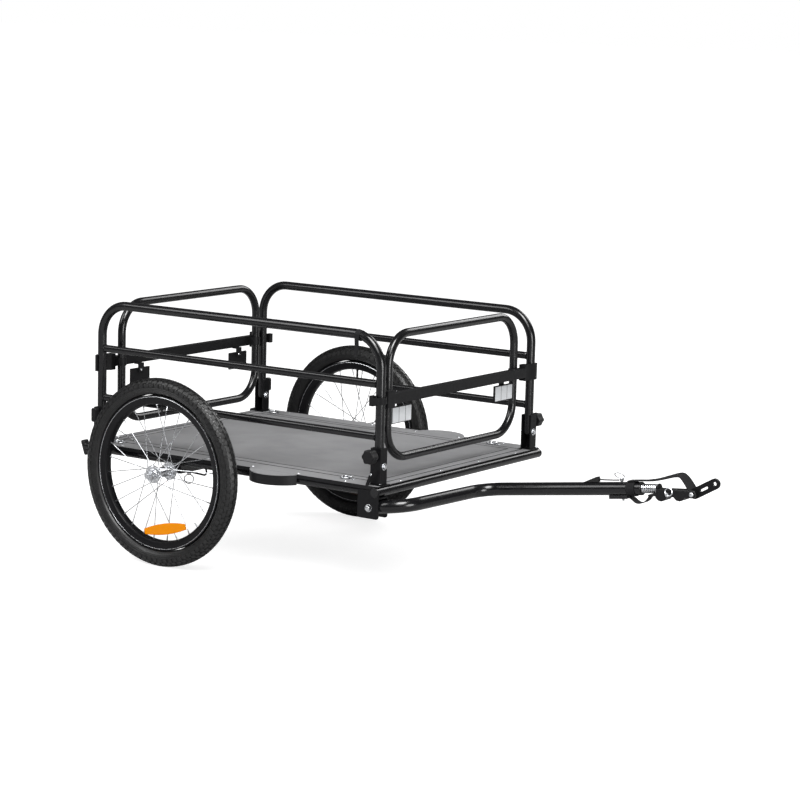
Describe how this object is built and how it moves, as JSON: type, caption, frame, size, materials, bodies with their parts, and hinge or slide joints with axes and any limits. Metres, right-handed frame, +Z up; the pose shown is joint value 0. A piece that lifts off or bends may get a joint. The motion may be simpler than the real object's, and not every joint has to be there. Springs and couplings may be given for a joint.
{
  "type": "bicycle cargo trailer",
  "caption": "Two-wheeled flat-bed cargo trailer for a bicycle, with a fabric deck, folding side fences, lift-off end gates and a bent tow bar with a sprung hitch.",
  "frame": {"origin": "middle of the whole outline on the ground", "axes": "+X forwards to the bicycle, +Y to the trailer's left, +Z up"},
  "size_m": [1.7834, 0.9906, 0.6793],
  "materials": {
    "black_paint": "gloss black powder coat on tube",
    "black_plastic": "black moulded plastic",
    "black_rubber": "black rubber",
    "tyre_rubber": "black tread rubber",
    "deck_fabric": "grey coated fabric",
    "webbing": "black woven webbing",
    "bright_steel": "bright zinc plate",
    "rim_paint": "black anodised rim",
    "clear_lens": "clear prism lens",
    "red_lens": "red prism lens",
    "orange_lens": "amber prism lens"
  },
  "bodies": {
    "chassis": {"side_rail_right": "black_paint", "side_wing_right": "deck_fabric", "rear_foot_right": "black_rubber", "side_rail_left": "black_paint", "side_wing_left": "deck_fabric", "rear_foot_left": "black_rubber", "front_rail": "black_paint", "rear_rail": "black_paint", "middle_beam": "black_paint", "axle_beam": "black_paint", "tow_bracket": "black_paint", "deck_sheet": "deck_fabric", "fold_bracket_rear_right": "black_paint", "fold_bracket_rear_left": "black_paint", "fold_bracket_front_right": "black_paint", "fold_bracket_front_left": "black_paint", "wheel_axle_right": "black_paint", "wheel_axle_left": "black_paint"},
    "knob_rear_right": {"lock_knob_rear_right": "black_plastic"},
    "knob_rear_left": {"lock_knob_rear_left": "black_plastic"},
    "knob_front_right": {"lock_knob_front_right": "black_plastic"},
    "knob_front_left": {"lock_knob_front_left": "black_plastic"},
    "ring_rear_right": {"tie_ring_rear_right": "bright_steel"},
    "ring_rear_left": {"tie_ring_rear_left": "bright_steel"},
    "ring_front_right": {"tie_ring_front_right": "bright_steel"},
    "ring_front_left": {"tie_ring_front_left": "bright_steel"},
    "right_fence": {"fence_hoop_right": "black_paint", "fence_middle_rail_right": "black_paint", "fence_lower_rail_right": "black_paint", "tie_strap": "webbing"},
    "left_fence": {"fence_hoop_left": "black_paint", "fence_middle_rail_left": "black_paint", "fence_lower_rail_left": "black_paint"},
    "rear_gate": {"gate_hoop_rear": "black_paint", "gate_bar_rear": "black_plastic", "reflector_rear_right": "red_lens", "reflector_rear_left": "red_lens"},
    "front_gate": {"gate_hoop_front": "black_paint", "gate_bar_front": "black_plastic", "reflector_front_right": "clear_lens", "reflector_front_left": "clear_lens"},
    "right_wheel": {"tyre_right": "tyre_rubber", "rim_right": "rim_paint", "hub_and_spokes_right": "bright_steel", "wheel_reflector_right": "orange_lens"},
    "left_wheel": {"tyre_left": "tyre_rubber", "rim_left": "rim_paint", "hub_and_spokes_left": "bright_steel", "wheel_reflector_left": "orange_lens"},
    "pin_right": {"axle_pin_right": "bright_steel"},
    "pin_left": {"axle_pin_left": "bright_steel"},
    "tow_arm": {"tow_bar": "black_paint", "flex_core": "black_rubber", "hitch_spring": "bright_steel", "safety_strap": "webbing", "pin_tether": "black_rubber"},
    "tow_ring_pin": {"tow_pin": "bright_steel"},
    "hitch_head": {"coupler": "black_plastic"},
    "head_pin": {"coupler_pin": "bright_steel"},
    "bike_plate": {"axle_plate": "black_paint"}
  },
  "joints": [
    {"name": "right_fence_fold", "type": "hinge", "parent": "chassis", "child": "right_fence", "pos_m": [-0.37686, -0.352, 0.338], "axis": [-1, 0, 0], "range_deg": [0, 90]},
    {"name": "left_fence_fold", "type": "hinge", "parent": "chassis", "child": "left_fence", "pos_m": [-0.37686, 0.352, 0.338], "axis": [1, 0, 0], "range_deg": [0, 90]},
    {"name": "front_gate_slide", "type": "slide", "parent": "chassis", "child": "front_gate", "axis": [1, 0, 0], "range_m": [0, 0.4]},
    {"name": "rear_gate_slide", "type": "slide", "parent": "chassis", "child": "rear_gate", "axis": [-1, 0, 0], "range_m": [0, 0.4]},
    {"name": "right_wheel_spin", "type": "hinge", "parent": "chassis", "child": "right_wheel", "pos_m": [-0.55636, -0.437, 0.251], "axis": [0, 1, 0], "continuous": true},
    {"name": "left_wheel_spin", "type": "hinge", "parent": "chassis", "child": "left_wheel", "pos_m": [-0.55636, 0.437, 0.251], "axis": [0, 1, 0], "continuous": true},
    {"name": "knob_pull_rear_right", "type": "slide", "parent": "chassis", "child": "knob_rear_right", "axis": [0, -1, 0], "range_m": [0, 0.009], "stiffness_N_per_m": 700, "springref_m": -0.006},
    {"name": "knob_pull_rear_left", "type": "slide", "parent": "chassis", "child": "knob_rear_left", "axis": [0, 1, 0], "range_m": [0, 0.009], "stiffness_N_per_m": 700, "springref_m": -0.006},
    {"name": "knob_pull_front_right", "type": "slide", "parent": "chassis", "child": "knob_front_right", "axis": [0, -1, 0], "range_m": [0, 0.009], "stiffness_N_per_m": 700, "springref_m": -0.006},
    {"name": "knob_pull_front_left", "type": "slide", "parent": "chassis", "child": "knob_front_left", "axis": [0, 1, 0], "range_m": [0, 0.009], "stiffness_N_per_m": 700, "springref_m": -0.006},
    {"name": "ring_lift_rear_right", "type": "hinge", "parent": "chassis", "child": "ring_rear_right", "pos_m": [-0.79736, -0.34, 0.2944], "axis": [0, -1, 0], "range_deg": [0, 150]},
    {"name": "ring_lift_rear_left", "type": "hinge", "parent": "chassis", "child": "ring_rear_left", "pos_m": [-0.79736, 0.34, 0.2944], "axis": [0, -1, 0], "range_deg": [0, 150]},
    {"name": "ring_lift_front_right", "type": "hinge", "parent": "chassis", "child": "ring_front_right", "pos_m": [-0.01136, -0.34, 0.2944], "axis": [0, 1, 0], "range_deg": [0, 150]},
    {"name": "ring_lift_front_left", "type": "hinge", "parent": "chassis", "child": "ring_front_left", "pos_m": [-0.01136, 0.34, 0.2944], "axis": [0, 1, 0], "range_deg": [0, 150]},
    {"name": "axle_pin_pull_right", "type": "slide", "parent": "chassis", "child": "pin_right", "axis": [0, 0, -1], "range_m": [0, 0.045]},
    {"name": "axle_pin_pull_left", "type": "slide", "parent": "chassis", "child": "pin_left", "axis": [0, 0, -1], "range_m": [0, 0.045]},
    {"name": "tow_bar_fold", "type": "hinge", "parent": "chassis", "child": "tow_arm", "pos_m": [0.08064, -0.366, 0.2345], "axis": [0, 1, 0], "range_deg": [0, 180]},
    {"name": "tow_pin_pull", "type": "slide", "parent": "tow_arm", "child": "tow_ring_pin", "axis": [-0.1331, 0, 0.9911], "range_m": [0, 0.07]},
    {"name": "hitch_flex", "type": "hinge", "parent": "tow_arm", "child": "hitch_head", "pos_m": [0.70038, -0.052, 0.31774], "axis": [-0.1331, 0, 0.9911], "range_deg": [-40, 40], "stiffness_Nm_per_rad": 25, "deforming": ["hitch_spring", "flex_core", "safety_strap"]},
    {"name": "coupler_pin_pull", "type": "slide", "parent": "hitch_head", "child": "head_pin", "axis": [0, -1, 0], "range_m": [0, 0.045]},
    {"name": "axle_plate_tilt", "type": "hinge", "parent": "hitch_head", "child": "bike_plate", "pos_m": [0.82431, -0.052, 0.32127], "axis": [0, 1, 0], "range_deg": [-60, 95]}
  ],
  "couplings": [
    {"joint": "left_fence_fold", "follows": "right_fence_fold", "ratio": 1},
    {"joint": "front_gate_slide", "follows": "right_fence_fold", "m_per_rad": 0.25},
    {"joint": "rear_gate_slide", "follows": "right_fence_fold", "m_per_rad": 0.25}
  ]
}
